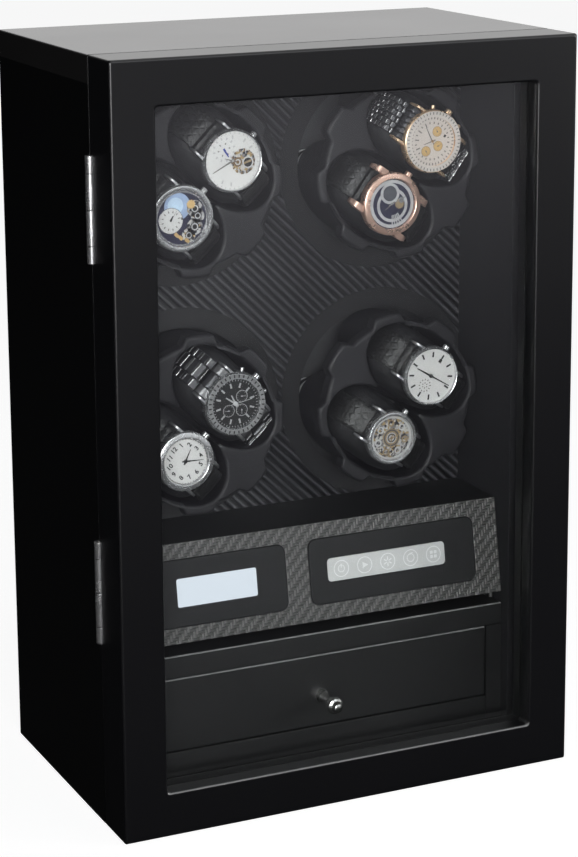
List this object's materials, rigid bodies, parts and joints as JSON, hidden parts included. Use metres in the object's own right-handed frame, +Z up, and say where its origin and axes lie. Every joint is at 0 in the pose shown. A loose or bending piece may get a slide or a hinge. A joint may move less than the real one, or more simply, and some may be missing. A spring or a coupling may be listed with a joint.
{
  "type": "watch winder cabinet",
  "caption": "Upright glass-door watch winder cabinet with motor-driven lobed turntables, a sloping control console and a small drawer.",
  "frame": {"origin": "middle of the base, under the closed door and the cabinet together", "axes": "+X to the right seen from the front, -Y out of the front, +Z up"},
  "size_m": [0.333, 0.21, 0.508],
  "materials": {
    "black_lacquer": "satin black lacquer",
    "satin_black_board": "satin black lacquer",
    "lining_felt": "short black felt",
    "ribbed_fascia": "fine diagonal ribs",
    "deck_board": "raw dyed fibreboard",
    "bronze": "sintered bronze",
    "belt_rubber": "matt rubber",
    "motor_can": "plated can",
    "runner_wood": "waxed wood",
    "carbon_weave": "twill-weave film",
    "bezel_black": "fine matt texture",
    "display": "lit blank display",
    "key_silver": "silver film with plain key symbols",
    "circuit_board": "solder mask",
    "nickel": "polished nickel",
    "zinc_steel": "zinc plated",
    "glass": "clear glass",
    "turntable_plastic": "soft-touch moulding",
    "spindle_steel": "turned steel",
    "cushion_leather": "fine black leatherette",
    "watch_steel": "plain steel cases and straps",
    "pulley_plastic": "moulded acetal"
  },
  "bodies": {
    "cabinet": {"side_panel_left": "black_lacquer", "side_panel_right": "black_lacquer", "top_panel": "black_lacquer", "bottom_panel": "black_lacquer", "rear_panel": "satin_black_board", "rear_panel_screws": "zinc_steel", "side_liners": "lining_felt", "fascia": "ribbed_fascia", "drive_deck": "deck_board", "spindle_bearings": "bronze", "drive_belts": "belt_rubber", "gear_motors": "motor_can", "drawer_shelf": "satin_black_board", "drawer_cheeks": "satin_black_board", "plinth_rail": "satin_black_board", "drawer_runners": "runner_wood", "console_panel": "carbon_weave", "display_bezel": "bezel_black", "key_bezel": "bezel_black", "display_module": "display", "key_strip": "key_silver", "control_board": "circuit_board", "power_inlet": "bezel_black", "hinge_cabinet_leaves": "nickel", "hinge_pins": "nickel", "magnet_strikes": "zinc_steel"},
    "door": {"door_stile_left": "black_lacquer", "door_stile_right": "black_lacquer", "door_rail_top": "black_lacquer", "door_rail_bottom": "black_lacquer", "door_glass": "glass", "glass_beads": "black_lacquer", "hinge_door_leaves": "nickel", "door_magnets": "zinc_steel"},
    "drawer": {"drawer_front": "satin_black_board", "drawer_tray": "runner_wood", "drawer_lining": "lining_felt", "drawer_knob": "nickel", "knob_screw": "zinc_steel"},
    "turntable_upper_left": {"turntable_upper_left": "turntable_plastic", "spindle_upper_left": "spindle_steel", "cushions_upper_left": "cushion_leather", "watches_upper_left": "watch_steel"},
    "motor_pulley_upper_left": {"motor_pulley_upper_left": "pulley_plastic"},
    "turntable_upper_right": {"turntable_upper_right": "turntable_plastic", "spindle_upper_right": "spindle_steel", "cushions_upper_right": "cushion_leather", "watches_upper_right": "watch_steel"},
    "motor_pulley_upper_right": {"motor_pulley_upper_right": "pulley_plastic"},
    "turntable_lower_left": {"turntable_lower_left": "turntable_plastic", "spindle_lower_left": "spindle_steel", "cushions_lower_left": "cushion_leather", "watches_lower_left": "watch_steel"},
    "motor_pulley_lower_left": {"motor_pulley_lower_left": "pulley_plastic"},
    "turntable_lower_right": {"turntable_lower_right": "turntable_plastic", "spindle_lower_right": "spindle_steel", "cushions_lower_right": "cushion_leather", "watches_lower_right": "watch_steel"},
    "motor_pulley_lower_right": {"motor_pulley_lower_right": "pulley_plastic"}
  },
  "joints": [
    {"name": "door_hinge", "type": "hinge", "parent": "cabinet", "child": "door", "pos_m": [-0.165, -0.0685, 0.254], "axis": [0, 0, -1], "range_deg": [0, 170]},
    {"name": "drawer_slide", "type": "slide", "parent": "cabinet", "child": "drawer", "axis": [0, -1, 0], "range_m": [0, 0.09]},
    {"name": "turntable_spin_upper_left", "type": "hinge", "parent": "cabinet", "child": "turntable_upper_left", "pos_m": [-0.075, -0.025, 0.413], "axis": [0, -1, 0], "continuous": true},
    {"name": "turntable_spin_upper_right", "type": "hinge", "parent": "cabinet", "child": "turntable_upper_right", "pos_m": [0.075, -0.025, 0.413], "axis": [0, -1, 0], "continuous": true},
    {"name": "turntable_spin_lower_left", "type": "hinge", "parent": "cabinet", "child": "turntable_lower_left", "pos_m": [-0.075, -0.025, 0.25], "axis": [0, -1, 0], "continuous": true},
    {"name": "turntable_spin_lower_right", "type": "hinge", "parent": "cabinet", "child": "turntable_lower_right", "pos_m": [0.075, -0.025, 0.25], "axis": [0, -1, 0], "continuous": true},
    {"name": "motor_spin_upper_left", "type": "hinge", "parent": "cabinet", "child": "motor_pulley_upper_left", "pos_m": [-0.031, 0.03, 0.413], "axis": [0, -1, 0], "continuous": true},
    {"name": "motor_spin_upper_right", "type": "hinge", "parent": "cabinet", "child": "motor_pulley_upper_right", "pos_m": [0.031, 0.03, 0.413], "axis": [0, -1, 0], "continuous": true},
    {"name": "motor_spin_lower_left", "type": "hinge", "parent": "cabinet", "child": "motor_pulley_lower_left", "pos_m": [-0.031, 0.03, 0.25], "axis": [0, -1, 0], "continuous": true},
    {"name": "motor_spin_lower_right", "type": "hinge", "parent": "cabinet", "child": "motor_pulley_lower_right", "pos_m": [0.031, 0.03, 0.25], "axis": [0, -1, 0], "continuous": true}
  ],
  "couplings": [
    {"joint": "drawer_slide", "follows": "door_hinge", "m_per_rad": 0.03033},
    {"joint": "motor_spin_upper_left", "follows": "turntable_spin_upper_left", "ratio": 3.3333},
    {"joint": "motor_spin_upper_right", "follows": "turntable_spin_upper_right", "ratio": 3.3333},
    {"joint": "motor_spin_lower_left", "follows": "turntable_spin_lower_left", "ratio": 3.3333},
    {"joint": "motor_spin_lower_right", "follows": "turntable_spin_lower_right", "ratio": 3.3333}
  ]
}
